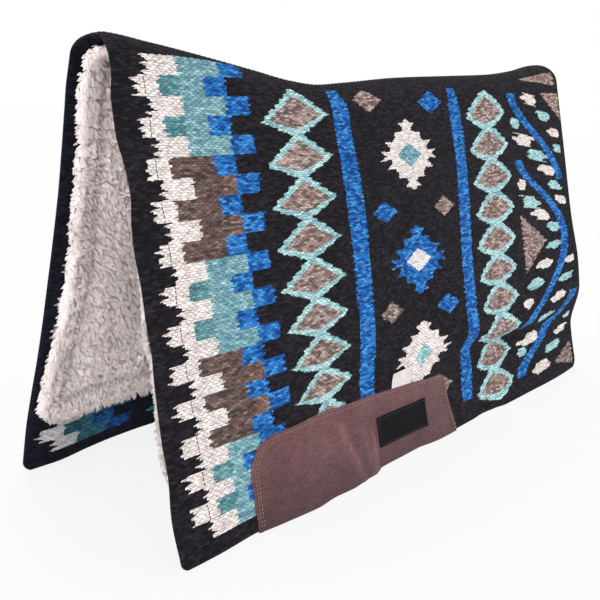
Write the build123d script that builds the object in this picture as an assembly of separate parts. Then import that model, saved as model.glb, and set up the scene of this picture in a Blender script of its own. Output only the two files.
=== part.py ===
"""Western show saddle pad, standing folded over its spine.

X runs along the spine with the front (withers) end at -X, the left flap is on -Y and +Z is up.
The origin is on the ground under the middle of the spine.  Each layer is one lofted shell per
flap: a straight flank, then half of the rounded fold.  The spine is cut lower behind the
withers, and there the fold is wider, because the flanks stay in one plane.
"""
from build123d import *
from math import asin, atan2, cos, hypot, pi, radians, sin, tan
import os

# ---- driving dimensions, in millimetres -------------------------------------------------
pad_length = 864.0              # front edge to rear edge
half_spread = 141.0             # from the middle plane to a flap's outer foot
ridge_height = 479.0            # ground to the top of the fold at the front
fold_inner_radius = 2.4         # inside the fleece, at the front of the fold
spine_line = [                  # (distance from the front edge, how far the spine is cut down)
    (0.0, 0.0), (60.0, 7.0), (130.0, 17.5), (200.0, 29.0), (260.0, 39.0), (310.0, 43.0),
    (370.0, 39.5), (470.0, 32.0), (600.0, 27.0), (700.0, 23.0), (780.0, 15.0), (835.0, 6.0),
    (pad_length, 5.0),
]

cover_thickness = 5.0           # double woven wool
core_thickness = 7.0            # pressed felt
fleece_thickness = 10.0         # pile and its backing
layer_clearance = 0.3           # between neighbouring soft layers

front_top_round = 12.0          # corners of the cover, seen from the side
rear_top_round = 34.0
bottom_round = 25.0

fleece_end_margin = 12.0        # bare cover in front of and behind the fleece
fleece_foot_height = 70.0       # ground to the fleece's lower edge
fleece_round = 22.0
fleece_flat_end = 35.0          # flat fleece between its end and the felt panel
fleece_flat_foot = 37.0         # flat fleece between its lower edge and the felt panel
core_round = 30.0
fleece_wall = 9.0               # fleece turned down round the felt panel's edge

leather_thickness = 2.4
leather_front = 92.0            # front edge of the pad to the wear leather
leather_length = 384.0
leather_height = 90.0
leather_front_round = 38.0
leather_rear_round = 18.0

label_thickness = 1.0
label_inset = 218.0             # front edge of the leather to the label
label_length = 103.0
label_height = 36.0
label_foot_height = 24.0

tag_thickness = 0.8
tag_inset = 258.0               # front edge of the leather to the tag
tag_length = 40.0
tag_height = 15.0

fold_gap = 0.3                  # half of the slit between the two flaps at the spine
fold_closing = 10.0             # degrees that the flaps can fold in from rest
sheet_clearance = 0.3           # wear leather, label and tag lie this far off what they lie on

# ---- places worked out from them --------------------------------------------------------
front_x = -pad_length / 2
below_ground = 30.0             # shells run this far under the ground, then are cut flat
past_end = 2.0                  # cutting blocks run this far past the solids
core_depth = cover_thickness + layer_clearance
panel_depth = core_depth + core_thickness + layer_clearance
total_thickness = panel_depth + fleece_thickness
ridge_radius = fold_inner_radius + total_thickness
fold_centre_height = ridge_height - ridge_radius
foot_distance = hypot(half_spread, fold_centre_height)
slope = atan2(half_spread, fold_centre_height) - asin(ridge_radius / foot_distance)
radius_per_drop = sin(slope) / (1 - sin(slope))
core_end_margin = fleece_end_margin + fleece_flat_end
core_foot_height = fleece_foot_height + fleece_flat_foot
label_front = leather_front + label_inset
tag_front = leather_front + tag_inset


def fold_at(drop):
    """Outer radius and centre height of the fold where the spine is cut down by drop."""
    radius = ridge_radius + drop * radius_per_drop
    return radius, ridge_height - drop - radius


def layer_section(x, drop, outer, inner):
    """Right half of one layer's cross-section at x, between two depths under the surface."""
    radius, centre = fold_at(drop)

    def tangent(depth):
        return (radius - depth) * cos(slope), centre + (radius - depth) * sin(slope)

    def middle(depth):
        angle = (pi / 2 + slope) / 2
        return (radius - depth) * cos(angle), centre + (radius - depth) * sin(angle)

    def foot(depth):
        y, z = tangent(depth)
        run = (z + below_ground) / cos(slope)
        return y + run * sin(slope), -below_ground

    with BuildSketch(Plane((x, 0, 0), x_dir=(0, 1, 0), z_dir=(1, 0, 0))) as section:
        with BuildLine():
            Line(foot(outer), tangent(outer))
            ThreePointArc(tangent(outer), middle(outer), (0, centre + radius - outer))
            Line((0, centre + radius - outer), (0, centre + radius - inner))
            ThreePointArc((0, centre + radius - inner), middle(inner), tangent(inner))
            Line(tangent(inner), foot(inner))
            Line(foot(inner), foot(outer))
        make_face()
    return section.sketch


def layer(outer, inner):
    """A layer of the right flap from spine to foot, between two depths under the surface."""
    sections = [layer_section(front_x + station, drop, outer, inner) for station, drop in spine_line]
    return loft(sections, ruled=True)


def side_block(start, end, foot_height, top, rounds):
    """A block across the right flap with a rounded outline in side view.

    start and end are distances from the front edge; rounds are the radii of the corners
    front foot, rear foot, rear top and front top.
    """
    corners = [(start, foot_height), (end, foot_height), (end, top), (start, top)]
    with BuildSketch(Plane.XZ) as outline:
        with BuildLine():
            Polyline([(front_x + x, z) for x, z in corners], close=True)
        make_face()
        for (x, z), radius in zip(corners, rounds):
            if radius > 0:
                corner = outline.vertices().sort_by_distance((front_x + x, z, 0))[0]
                fillet(corner, radius)
    return extrude(outline.sketch, -(half_spread + past_end + leather_thickness))


def fold_room():
    """What the right flap keeps at the spine: the slit opens downwards by half the closing."""
    lean = radians(fold_closing / 2)
    reach = half_spread + past_end + leather_thickness
    depth = ridge_height + below_ground
    with BuildSketch(Plane((front_x - past_end, 0, 0), x_dir=(0, 1, 0), z_dir=(1, 0, 0))) as room:
        with BuildLine():
            Polyline([
                (fold_gap, ridge_height + past_end),
                (fold_gap, ridge_height),
                (fold_gap + depth * tan(lean), -below_ground),
                (reach, -below_ground),
                (reach, ridge_height + past_end),
            ], close=True)
        make_face()
    return extrude(room.sketch, pad_length + 2 * past_end)


def spine_trimmed(solid):
    return solid & fold_room()


def woven_cover():
    outline = side_block(0, pad_length, 0, ridge_height + past_end,
                         (bottom_round, bottom_round, rear_top_round, front_top_round))
    return spine_trimmed(layer(0, cover_thickness) & outline)


def panel_outline(grow):
    """Side view of the felt panel, grown by a margin all round."""
    return side_block(core_end_margin - grow, pad_length - core_end_margin + grow,
                      core_foot_height - grow, ridge_height + past_end,
                      (core_round + grow, core_round + grow, 0, 0))


def felt_core():
    return spine_trimmed(layer(core_depth, core_depth + core_thickness) & panel_outline(0))


def fleece_lining():
    """Flat margin sewn to the cover, and a raised field with a turned-down wall over the felt."""
    edge = side_block(fleece_end_margin, pad_length - fleece_end_margin, fleece_foot_height,
                      ridge_height + past_end, (fleece_round, fleece_round, 0, 0))
    margin = layer(core_depth, core_depth + fleece_thickness) & edge
    field = layer(core_depth, total_thickness) & panel_outline(fleece_wall + layer_clearance)
    pocket = layer(core_depth - layer_clearance, panel_depth) & panel_outline(layer_clearance)
    return spine_trimmed((margin + field) - pocket)


def sheet_on_flank(start, end, foot_height, height, outer, inner, rounds=(0, 0, 0, 0)):
    """A thin sheet lying on the right flank between two depths; negative depths lie outside."""
    outline = side_block(start, end, foot_height, foot_height + height, rounds)
    return layer(outer, inner) & outline


def wear_leather():
    lowest = -sheet_clearance
    return sheet_on_flank(leather_front, leather_front + leather_length, 0, leather_height,
                          lowest - leather_thickness, lowest,
                          (0, 0, leather_rear_round, leather_front_round))


def label():
    lowest = -(sheet_clearance + leather_thickness + sheet_clearance)
    return sheet_on_flank(label_front, label_front + label_length, label_foot_height, label_height,
                          lowest - label_thickness, lowest)


def size_tag():
    lowest = -sheet_clearance
    return sheet_on_flank(tag_front, tag_front + tag_length, leather_height + sheet_clearance,
                          tag_height, lowest - tag_thickness, lowest)


def left_of(solid):
    return mirror(solid, about=Plane.XZ)


both_flaps = {
    "woven_cover": woven_cover(),
    "felt_core": felt_core(),
    "fleece_lining": fleece_lining(),
    "wear_leather": wear_leather(),
}
nodes = {}
for name, solid in both_flaps.items():
    nodes["right_" + name] = solid
    nodes["left_" + name] = left_of(solid)
nodes["label"] = left_of(label())
nodes["size_tag"] = left_of(size_tag())

os.makedirs("parts", exist_ok=True)
for name, solid in nodes.items():
    export_step(solid, os.path.join("parts", name + ".step"))
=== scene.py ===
"""Looks of a western show saddle pad that stands folded over its spine.

Every soft layer is laid on one described surface.  A place on the pad is given in millimetres:
s runs from the front edge along the spine, h runs up a flap from its foot to the spine, and
depth goes inwards from the outer face.  place() turns that into metres in the CAD frame.
"""
import math

import bpy
import numpy as np
from mathutils import Matrix, Vector


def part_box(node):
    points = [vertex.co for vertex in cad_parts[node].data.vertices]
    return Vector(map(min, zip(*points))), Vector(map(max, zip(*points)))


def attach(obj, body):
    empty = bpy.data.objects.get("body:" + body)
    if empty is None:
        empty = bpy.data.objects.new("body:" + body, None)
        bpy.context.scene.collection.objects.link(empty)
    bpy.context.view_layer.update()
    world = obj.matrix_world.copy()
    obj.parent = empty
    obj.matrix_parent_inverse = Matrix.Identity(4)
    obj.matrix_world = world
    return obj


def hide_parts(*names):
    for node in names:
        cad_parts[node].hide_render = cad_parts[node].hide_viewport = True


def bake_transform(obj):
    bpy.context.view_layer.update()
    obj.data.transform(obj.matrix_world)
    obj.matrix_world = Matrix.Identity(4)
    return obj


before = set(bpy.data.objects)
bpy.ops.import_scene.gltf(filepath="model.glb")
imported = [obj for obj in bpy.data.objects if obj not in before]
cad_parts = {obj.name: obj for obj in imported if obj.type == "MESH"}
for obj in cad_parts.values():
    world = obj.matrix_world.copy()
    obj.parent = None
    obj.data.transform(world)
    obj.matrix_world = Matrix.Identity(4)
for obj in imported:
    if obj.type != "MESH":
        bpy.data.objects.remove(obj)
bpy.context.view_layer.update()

# ---- the pad's form, in millimetres ------------------------------------------------------
MM = 0.001
LEFT, RIGHT = -1, 1
SIDES = {"left": LEFT, "right": RIGHT}
cover_low, cover_high = (np.array(corner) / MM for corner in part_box("left_woven_cover"))
LENGTH = cover_high[0] - cover_low[0]
FRONT = cover_low[0]
SPREAD = -cover_low[1]
RIDGE_TRIM = 0.5                # the rounded front corner takes this off the top of the CAD's cover
RIDGE = cover_high[2] + RIDGE_TRIM
FOLD_RADIUS = 25.0
COVER = 5.0
FELT = 7.0
FLEECE = 10.0
GAP = 0.3
FELT_DEPTH = COVER + GAP
FIELD_DEPTH = FELT_DEPTH + FELT + GAP + FLEECE
ON_FLOOR = 0.1                  # soft edges keep this height over the floor

foot_distance = math.hypot(SPREAD, RIDGE - FOLD_RADIUS)
SLOPE = math.atan2(SPREAD, RIDGE - FOLD_RADIUS) - math.asin(FOLD_RADIUS / foot_distance)
SIN, COS = math.sin(SLOPE), math.cos(SLOPE)
WIDENING = SIN / (1 - SIN)      # growth of the fold's radius per drop of the spine


def smooth(x):
    x = np.clip(x, 0, 1)
    return x * x * (3 - 2 * x)


def ease(x, start, end):
    """0 up to the start and 1 from the end on, or the other way round where end is lower."""
    return smooth((x - start) / (end - start))


def bump(x, centre, width):
    return np.exp(-(((x - centre) / width) ** 2))


def curve(*points):
    """A smooth function through (place, value) points that never overshoots them."""
    x, y = np.array(points, float).T
    steps = np.diff(x)
    slopes = np.diff(y) / steps
    tangents = np.zeros_like(y)
    product = slopes[1:] * slopes[:-1]
    total = slopes[1:] + slopes[:-1]
    turning = product <= 0
    tangents[1:-1] = np.where(turning, 0, 2 * product / np.where(turning, 1, total))

    def value(at):
        at = np.clip(at, x[0], x[-1])
        i = np.clip(np.searchsorted(x, at) - 1, 0, len(steps) - 1)
        t = (at - x[i]) / steps[i]
        here = (1 + 2 * t) * (1 - t) ** 2 * y[i] + t * (1 - t) ** 2 * steps[i] * tangents[i]
        after = t * t * (3 - 2 * t) * y[i + 1] + t * t * (t - 1) * steps[i] * tangents[i + 1]
        return here + after

    return value


spine_drop = curve((0, 0), (60, 7), (130, 17.5), (200, 29), (260, 39), (310, 43), (370, 39.5),
                   (470, 32), (600, 27), (700, 23), (780, 15), (835, 6), (LENGTH, 5))

# How far the left flap hangs inside its plane: at its foot, just above the foot and at the
# waist.  The foot waves out in front, and the rear half is tucked in under a crease.
left_foot = curve((0, -5), (30, -4), (52, -3), (95, -1), (125, -3), (174, -5), (212, -1),
                  (240, -2), (262, 0), (285, 2), (312, 10), (360, 12), (390, 13), (415, 10),
                  (440, 8), (470, 8), (495, 9),
                  (525, 11), (560, 15), (590, 14), (615, 11), (640, 11), (720, 12), (809, 16),
                  (LENGTH, 20))
left_shin = curve((0, 0), (125, -1), (174, -4), (212, 0), (262, 0), (304, 9), (360, 12), (415, 12),
                  (480, 17), (610, 19), (659, 23), (720, 21), (LENGTH, 21))
left_waist = curve((0, 0), (130, 0), (220, 7), (300, 10), (440, 10), (540, 9))
SHIN_HEIGHT, WAIST_HEIGHT = 50.0, 115.0
above_waist = curve((WAIST_HEIGHT, 1), (155, 0.6), (200, 0.3), (280, 0.05), (330, 0))
crease_height = curve((440, 114), (540, 107), (600, 97), (700, 97), (780, 101), (LENGTH, 104))
crease_width = curve((440, 30), (540, 22), (620, 16), (700, 15), (780, 24), (LENGTH, 38))
# How far the right flap flares out at its foot; the flare is gone at FLARE_TOP.
FLARE_TOP = 260.0
right_flare = curve((0, -4), (35, -4), (92, 4), (131, 9), (182, 12), (260, 9), (350, 1), (450, -6),
                    (560, 2), (700, 8), (800, 5), (LENGTH, 2))
# How far the right flap bulges out at a distance down from the spine.
right_shoulder = curve((0, 0), (8, 4), (20, 11), (34, 16), (58, 16), (90, 13), (130, 9), (180, 5),
                       (260, 3), (500, 2))


def left_hang(s, h):
    foot, shin, waist, crease = left_foot(s), left_shin(s), left_waist(s), crease_height(s)
    low = foot + (shin - foot) * ease(h, 0, SHIN_HEIGHT)
    to_waist = low + (waist - low) * ease(h, SHIN_HEIGHT, WAIST_HEIGHT)
    soft = np.where(h < WAIST_HEIGHT, to_waist, waist * above_waist(h))
    width = crease_width(s)
    tuck = low * ease(h, crease + width, crease - width)
    lips = 4.0 * bump(h, crease - 9, 10) - 3.5 * bump(h, crease + 22, 18)
    lips = lips * ease(s, 490, 600) * (1 - ease(s, 730, 820))
    rear_bulge = -3.0 * bump(h, 188, 42) * ease(s, 740, 840)
    return soft + (tuck + lips + rear_bulge - soft) * ease(s, 410, 520)


def right_hang(s, h):
    flare = right_flare(s) * np.clip(1 - h / FLARE_TOP, 0, 1) ** 2
    shoulder = right_shoulder(half_girth(s) - h) * (1 - 0.5 * ease(s, 60, 310))
    return -flare - shoulder


def ripple(side, s, h):
    """Slight unevenness of thick cloth, which dies out towards the spine."""
    wave = np.sin(s / 31 + side * 1.7 + h / 70) + np.sin(s / 53 - h / 37 + side)
    return 0.7 * wave * np.clip((420 - h) / 200, 0, 1) * ease(s, 0, 60)


def hang(side, s, h):
    base = left_hang(s, h) if side == LEFT else right_hang(s, h)
    return base + ripple(side, s, h)


def fold(s):
    """Radius of the fold, height of its centre and length of the straight flank below it."""
    drop = spine_drop(s)
    radius = FOLD_RADIUS + drop * WIDENING
    centre = RIDGE - drop - radius
    return radius, centre, (centre + radius * SIN) / COS


def half_girth(s):
    radius, _, flank = fold(s)
    return flank + radius * (math.pi / 2 - SLOPE)


def place(side, s, h, depth):
    """Points in metres at s, h and depth in millimetres."""
    s, h, depth = np.broadcast_arrays(*(np.asarray(v, float) for v in (s, h, depth)))
    radius, centre, flank = fold(s)
    angle = SLOPE + np.maximum(h - flank, 0) / radius
    y = np.where(h < flank, SPREAD - h * SIN, radius * np.cos(angle))
    z = np.where(h < flank, h * COS, centre + radius * np.sin(angle))
    y = y - np.cos(angle) * depth - hang(side, s, h)
    z = np.maximum(z - np.sin(angle) * depth, ON_FLOOR)
    return np.stack([FRONT + s, side * y, z], -1) * MM


FULL_GIRTH = float(half_girth(0.0))
CLIMB_START = 300.0             # weft rows are level up to here, then follow the cut spine


def climb(n, s):
    """Height of the weft row that would be n up on an uncut flap."""
    rest = (half_girth(s) - CLIMB_START) / (FULL_GIRTH - CLIMB_START)
    return np.where(n < CLIMB_START, n, CLIMB_START + (n - CLIMB_START) * rest)


def rounding(distance, radius):
    """Inset of a rounded corner's edge at a distance from the corner's end."""
    inside = np.clip(radius - distance, 0, radius)
    return radius - np.sqrt(radius**2 - inside**2)


FRONT_FOOT_ROUND = {LEFT: 8.0, RIGHT: 14.0}
REAR_FOOT_ROUND = 18.0
FRONT_TOP_ROUND, REAR_TOP_ROUND = 12.0, 34.0
ROUND_TOP = RIDGE + 2.0
# The front edge wavers, and runs forward towards its foot.
front_waver = {LEFT: curve((0, 11), (25, 11), (55, 10), (88, 7), (120, 8), (180, 6), (205, 4),
                           (235, 5), (262, 4.5), (298, 6), (322, 4.5), (350, 0.5), (370, 1.5),
                           (405, 6.5), (430, 6), (465, 1), (508, 2)),
               RIGHT: curve((0, 4), (60, 5), (100, 3.5), (150, 1), (200, 0), (508, 0))}


def ends(side, h):
    """First and last s of the cover at height h."""
    front_z, rear_z = (place(RIGHT, s, h, 0)[..., 2] / MM for s in (0.0, LENGTH))
    first = rounding(h, FRONT_FOOT_ROUND[side]) + rounding(ROUND_TOP - front_z, FRONT_TOP_ROUND)
    last = rounding(h, REAR_FOOT_ROUND) + rounding(ROUND_TOP - rear_z, REAR_TOP_ROUND)
    return first - front_waver[side](h), LENGTH - last


# ---- meshes ------------------------------------------------------------------------------
def scatter(*keys):
    """A repeatable number from 0 to 1 for each place in the arrays."""
    total = sum(key * weight for key, weight in zip(keys, (12.9898, 78.233, 37.719)))
    return np.modf(np.abs(np.sin(total) * 43758.5453))[0]


def grid_faces(rows, columns, flip):
    i = np.arange(rows * columns).reshape(rows, columns)
    quads = np.stack([i[:-1, :-1], i[:-1, 1:], i[1:, 1:], i[1:, :-1]], -1).reshape(-1, 4)
    return quads[:, ::-1] if flip else quads


def add_object(name, data):
    made = bpy.data.objects.new(name, data)
    bpy.context.collection.objects.link(made)
    return made


def make_object(name, points, faces, material):
    """A smooth mesh object from points (n, 3) and faces (m, corners)."""
    mesh = bpy.data.meshes.new(name)
    mesh.vertices.add(len(points))
    mesh.vertices.foreach_set("co", np.ascontiguousarray(points, np.float32).ravel())
    mesh.loops.add(faces.size)
    mesh.loops.foreach_set("vertex_index", np.ascontiguousarray(faces, np.int32).ravel())
    mesh.polygons.add(len(faces))
    mesh.polygons.foreach_set("loop_start", np.arange(len(faces), dtype=np.int32) * faces.shape[1])
    mesh.update(calc_edges=True)
    mesh.validate()
    mesh.polygons.foreach_set("use_smooth", np.ones(len(faces), bool))
    mesh.materials.append(material)
    return add_object(name, mesh)


def add_uv(made, u, v):
    """The UV map that a baked copy of the material uses, from corner arrays."""
    layer = made.data.uv_layers.new(name="OFBake")
    layer.uv.foreach_set("vector", np.stack([u, v], -1).astype(np.float32).ravel())


def add_colour(made, name, rgb):
    """One colour for all four corners of each quad."""
    layer = made.data.color_attributes.new(name=name, type="FLOAT_COLOR", domain="CORNER")
    rgba = np.repeat(np.concatenate([rgb, np.ones((len(rgb), 1))], -1), 4, axis=0)
    layer.data.foreach_set("color", rgba.astype(np.float32).ravel())


def add_vector(made, name, vectors):
    layer = made.data.attributes.new(name, "FLOAT_VECTOR", "CORNER")
    layer.data.foreach_set("vector", vectors.astype(np.float32).ravel())


def unit(vectors):
    return vectors / np.linalg.norm(vectors, axis=1)[:, None]


def corner_vertices(made):
    indices = np.empty(len(made.data.loops), np.int32)
    made.data.loops.foreach_get("vertex_index", indices)
    return indices


def closed_slab(outer, inner):
    """Points and quads of a closed slab from two grids of points of the same shape."""
    rows, columns = outer.shape[:2]
    count = rows * columns
    i = np.arange(count).reshape(rows, columns)
    rim = np.concatenate([i[0, :-1], i[:-1, -1], i[-1, :0:-1], i[:0:-1, 0]])
    after = np.roll(rim, -1)
    sides = np.stack([rim, rim + count, after + count, after], -1)
    top, bottom = grid_faces(rows, columns, False), grid_faces(rows, columns, True) + count
    points = np.concatenate([outer.reshape(-1, 3), inner.reshape(-1, 3)])
    return points, np.concatenate([top, bottom, sides])


def flap_slab(side, s, h, outer_depth, inner_depth):
    """Points and quads of a closed slab on one flap between two depths."""
    outer, inner = place(side, s, h, outer_depth), place(side, s, h, inner_depth)
    if side == RIGHT:
        outer, inner = outer[:, ::-1], inner[:, ::-1]
    return closed_slab(outer, inner)


def slab_object(name, side, s, h, outer_depth, inner_depth, material):
    return make_object(name, *flap_slab(side, s, h, outer_depth, inner_depth), material)


# ---- the woven figures -------------------------------------------------------------------
def linear(*rgb):
    """An sRGB colour from 0 to 255, or several of them, as linear ones."""
    c = np.array(rgb) / 255
    return np.where(c <= 0.04045, c / 12.92, ((c + 0.055) / 1.055) ** 2.4)


GROUND, CREAM, TURQUOISE, PALE, TEAL, BLUE, TAUPE, BROWN, RUST = range(9)
# Each yarn is spun from a few shades; a stitch takes one of them.
YARN_SHADES = linear(
    [(26, 23, 29), (17, 15, 20), (36, 32, 39), (42, 37, 44)],
    [(242, 231, 227), (234, 222, 218), (248, 240, 237), (226, 214, 211)],
    [(132, 176, 186), (114, 160, 172), (152, 194, 202), (102, 148, 160)],
    [(176, 218, 220), (158, 204, 208), (196, 230, 230), (140, 186, 192)],
    [(106, 154, 162), (88, 138, 148), (124, 170, 176), (76, 126, 136)],
    [(42, 120, 198), (28, 94, 172), (70, 148, 218), (20, 72, 140)],
    [(162, 142, 136), (112, 95, 93), (194, 174, 168), (142, 112, 105)],
    [(104, 87, 84), (78, 64, 63), (130, 110, 105), (108, 84, 77)],
    [(128, 103, 93), (100, 80, 75), (154, 127, 115), (132, 96, 80)],
)

# Painted shade: the cover's back lies in shade inside the pad, so its yarn colours are darkened and
# turned bluer there.
INNER_PAINTED_SHADE = np.array([(0.4, 0.54, 0.88), (0.72, 0.76, 0.8), *[(0.16, 0.36, 0.42)] * 3,
                       (0.35, 0.45, 0.5), *[(0.5, 0.56, 0.62)] * 3])

BAND_GROUPS = (476.5, 380.0, 280.0, 187.0, 100.0, 18.0)
STEPS_PER_GROUP = 5
CREAM_FRONT = 12                # where a step that stands forward starts, low on the flap
# Edges of the cream, shaded, plain and blue blocks of a step, standing back and forward.
BAND_EDGES = ((35, 74, 112, 131, 164), (CREAM_FRONT, 48, 74, 105, 134))
LOWEST_EDGES = ((32, 67, 102, 112, 149), (CREAM_FRONT, 44, 70, 86, 119))
CHAIN_TIERS = (445.0, 397.0, 352.0, 307.0, 263.0, 219.0, 178.0)
CHAIN_ENDS = ((138.0, 102.0, 58.0, 14.0), (136.0, 95.0, 52.0, 14.0))
# The hand-woven chains and stripes wander a little: s over height.
chain_places = (curve((18, 229), (200, 229), (448, 233)),
                curve((18, 600), (71, 612), (112, 608), (153, 615), (200, 618), (330, 633),
                      (448, 632)))
stripe_places = (curve((27, 303), (95, 305), (133, 313), (156, 315), (200, 314), (320, 317),
                       (446, 310)),
                 curve((27, 526), (70, 532), (135, 534), (200, 538), (300, 551), (370, 555),
                       (446, 550)))
STRIPE_TOP, STRIPE_FOOT = 451.0, 27.0


def within(x, low, high):
    return (x >= low) & (x < high)


def band_steps():
    """Group, foot and top of each step of the front band, and whether it stands forward."""
    number = 0
    for group, (high, low) in enumerate(zip(BAND_GROUPS, BAND_GROUPS[1:])):
        step = (high - low) / STEPS_PER_GROUP
        for index in range(STEPS_PER_GROUP):
            yield group, high - step * (index + 1), high - step * index, number % 2 == 1
            number += 1


def front_band(s, h, tooth, yarn):
    """Five groups of five steps; every other step stands further forward."""
    for group, foot, top, forward in band_steps():
        cold = group % 2 == 0
        body, shade = (TURQUOISE, TEAL) if cold else (BROWN, BROWN)
        lowest = group == len(BAND_GROUPS) - 2
        edges = (LOWEST_EDGES if lowest else BAND_EDGES)[forward]
        shades = (CREAM, shade, body, BLUE) if forward else (CREAM, body, body, BLUE)
        if not cold and not forward:
            shades = (CREAM, BROWN, RUST, BLUE)
        for start, end, colour in zip(edges, edges[1:], shades):
            if start == CREAM_FRONT:
                start = start + 9 * ease(h, 150, 330)
            reach = 4.0 if colour == CREAM else 1.8
            block = (s + reach * tooth >= start) & (s + 1.8 * tooth < end)
            yarn[within(h, foot, top) & block] = colour


def diamond(s, h, centre, half_width, half_height):
    return np.abs(s - centre[0]) / half_width + np.abs(h - centre[1]) / half_height < 1


def kite(s, h, centre, half_width, half_height, roundness):
    """A diamond whose widest line lies low and slants down to the front; 1 is straight-sided."""
    away = h - (centre[1] - 6 + 0.06 * (s - centre[0]))
    reach = np.where(away > 0, half_height + 6, half_height - 6)
    across = np.abs(s - centre[0]) / half_width
    return across**roundness + (np.abs(away) / reach) ** roundness < 1


def diamond_chains(s, h, tooth, yarn):
    for places, width, roundness, end in zip(chain_places, (54, 52), (1.0, 1.25), CHAIN_ENDS):
        tiers = CHAIN_TIERS + end
        for top, bottom in zip(tiers, tiers[1:]):
            height, half = (top + bottom) / 2, (top - bottom) / 2
            centre = (places(height), height)
            yarn[kite(s + 2.2 * tooth, h, centre, width, half + 4, roundness)] = PALE
            yarn[kite(s + 1.5 * tooth, h, centre, width - 11, half - 5.5, roundness)] = TAUPE


def stripes(s, h, tooth, yarn):
    tall = within(h, STRIPE_FOOT, STRIPE_TOP)
    taper = 4 * ease(h, 425, 447)
    halves = (13.5 + 2 * bump(h, 290, 110), 13)
    for route, half in zip(stripe_places, halves):
        yarn[tall & (np.abs(s + 0.9 * tooth - route(h)) < half - taper)] = BLUE


star_body = curve((0, 41), (18, 31), (28, 14), (34, 7), (42, 5.5), (44, 0))
STAR_TOP, SPIKE_TOP = 44, 42    # from a star's middle
SPIKE_PITCH = 11.8
# Middle, colour, colour and half width of the plain diamond inside, and slant of each star.
STARS = (((436, 367), CREAM, TURQUOISE, 27, 0), ((431, 235), BLUE, CREAM, 26, 0),
         ((426, 112), CREAM, PALE, 19, 0.6))
# Middle, colour and half width of the small plain diamonds.
SMALL_DIAMONDS = (((365, 435), TAUPE, 27), ((495, 432), BLUE, 27), ((371, 300), BLUE, 24),
                  ((500, 298), TAUPE, 24), ((366, 177), TAUPE, 24), ((484, 171), BLUE, 24),
                  ((366, 58), BLUE, 24), ((470, 60), TAUPE, 24))


def stars(s, h, tooth, yarn):
    """Spiky diamonds with a plain one inside, between small plain ones."""
    for centre, colour, heart, heart_width, slant in STARS:
        away = np.abs(h - centre[1])
        across = np.abs(s - centre[0] - slant * np.minimum(h - centre[1], 7))
        over = across - star_body(away)
        turn = np.modf((away - 0.25 * over + 30) / SPIKE_PITCH)[0]
        reach = 0.31 * (1 - over / (22 - 0.3 * away))
        spike = (np.abs(turn - 0.62) < reach) & (away < SPIKE_TOP)
        yarn[(over < 0) & (away < STAR_TOP) | spike] = colour
        yarn[across / heart_width + away / 15 < 1] = heart
    for centre, colour, half in SMALL_DIAMONDS:
        yarn[diamond(s + 1.2 * tooth, h, centre, half, 0.56 * half)] = colour


LARGE, SMALL = 30, 12           # half widths of a fleck near the front of the rear figure
BAR = 4.8                       # height of the bars of weft that make a fleck
LAST_FLECK = 848                # no fleck runs on past this s
# Each row of flecks: its first middle, the step to the next one, its colours, the half width
# and how much each step bows towards the front.
FLECK_ROWS = (
    ((764, 436), (47, -25.5), (CREAM, PALE, CREAM, PALE), LARGE, 7),
    ((714, 401), (33, -26), (PALE,), SMALL, 0),
    ((735, 376), (36, -24), (CREAM, PALE, CREAM, PALE, CREAM), LARGE, 3),
    ((713, 311), (33, -26), (CREAM,), SMALL, 0),
    ((731, 284), (34, -22), (PALE, CREAM, PALE), LARGE, 0),
    ((798, 213), (-39, -25.5), (PALE, CREAM, PALE), LARGE, 0),
    ((690, 136), (-33, -26), (CREAM,), SMALL, 0),
    ((834, 186), (-4, -26), (CREAM, PALE, CREAM, PALE), LARGE, 9.5),
    ((846, 92), (-20, -21.5), (PALE, CREAM, PALE, CREAM), LARGE, 5),
    ((720, 74), (-33, -26), (CREAM,), LARGE, 0),
    ((694, 58), (-33, -26), (PALE,), SMALL, 0),
)


def flecks(s, h, yarn, start, step, colours, half, bow):
    """A slanting row of small lozenges of alternating colours, smaller towards the rear.

    Each is a few bars of weft with uneven ends.  In a row that runs to the rear the bars step to
    the rear as they go down, and in one that runs to the front they are mirrored.
    """
    onwards = np.sign(step[0])  # 1 to the rear, -1 to the front
    slant, flatter = (0.13, 1) if onwards > 0 else (-0.08, 0.8)
    for number, colour in enumerate(colours):
        middle = start[0] + step[0] * number - bow * number**2
        size = 0.96 - 0.09 * (middle - 735) / 33
        along = s - middle
        across = h - start[1] - step[1] * number + slant * along
        tall = (9.2 if half == LARGE else 7.5) * size * flatter
        bar = np.floor(across / BAR + 0.5)
        along = along + 1.6 * onwards * bar
        uneven = 0.7 * (scatter(bar, number + start[0], np.sign(along)) - 0.5)
        reach = half * size * (1.08 + uneven - 0.5 * np.abs(across) / tall)
        yarn[(np.abs(along) < reach) & (np.abs(across) < tall) & (s < LAST_FLECK)] = colour


# The rear figure's arms, as s over height.
inner_arm = curve((100, 676), (120, 704), (140, 748), (182, 806), (214, 826), (232, 829),
                  (250, 824), (276, 800), (346, 711))
upper_outer_arm = curve((312, 834), (350, 811), (444, 708))
lower_outer_arm = curve((24, 678), (45, 706), (63, 742), (88, 778), (104, 802), (136, 840))
# Taupe wedges: s at both ends, then the lowest h at both and the highest h at both.
WEDGES = (((697, 772), (180, 223), (266, 223)), ((798, 858), (448, 404.8), (446, 446)),
          ((782, 852), (24, 8.6), (24, 45)), ((736, 848), (467, 458), (467, 480)))
# Route, lowest and highest h, and half width.
ARMS = ((upper_outer_arm, 312, 445, 11), (lower_outer_arm, 25, 136, 14), (inner_arm, 100, 347, 11))


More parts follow.
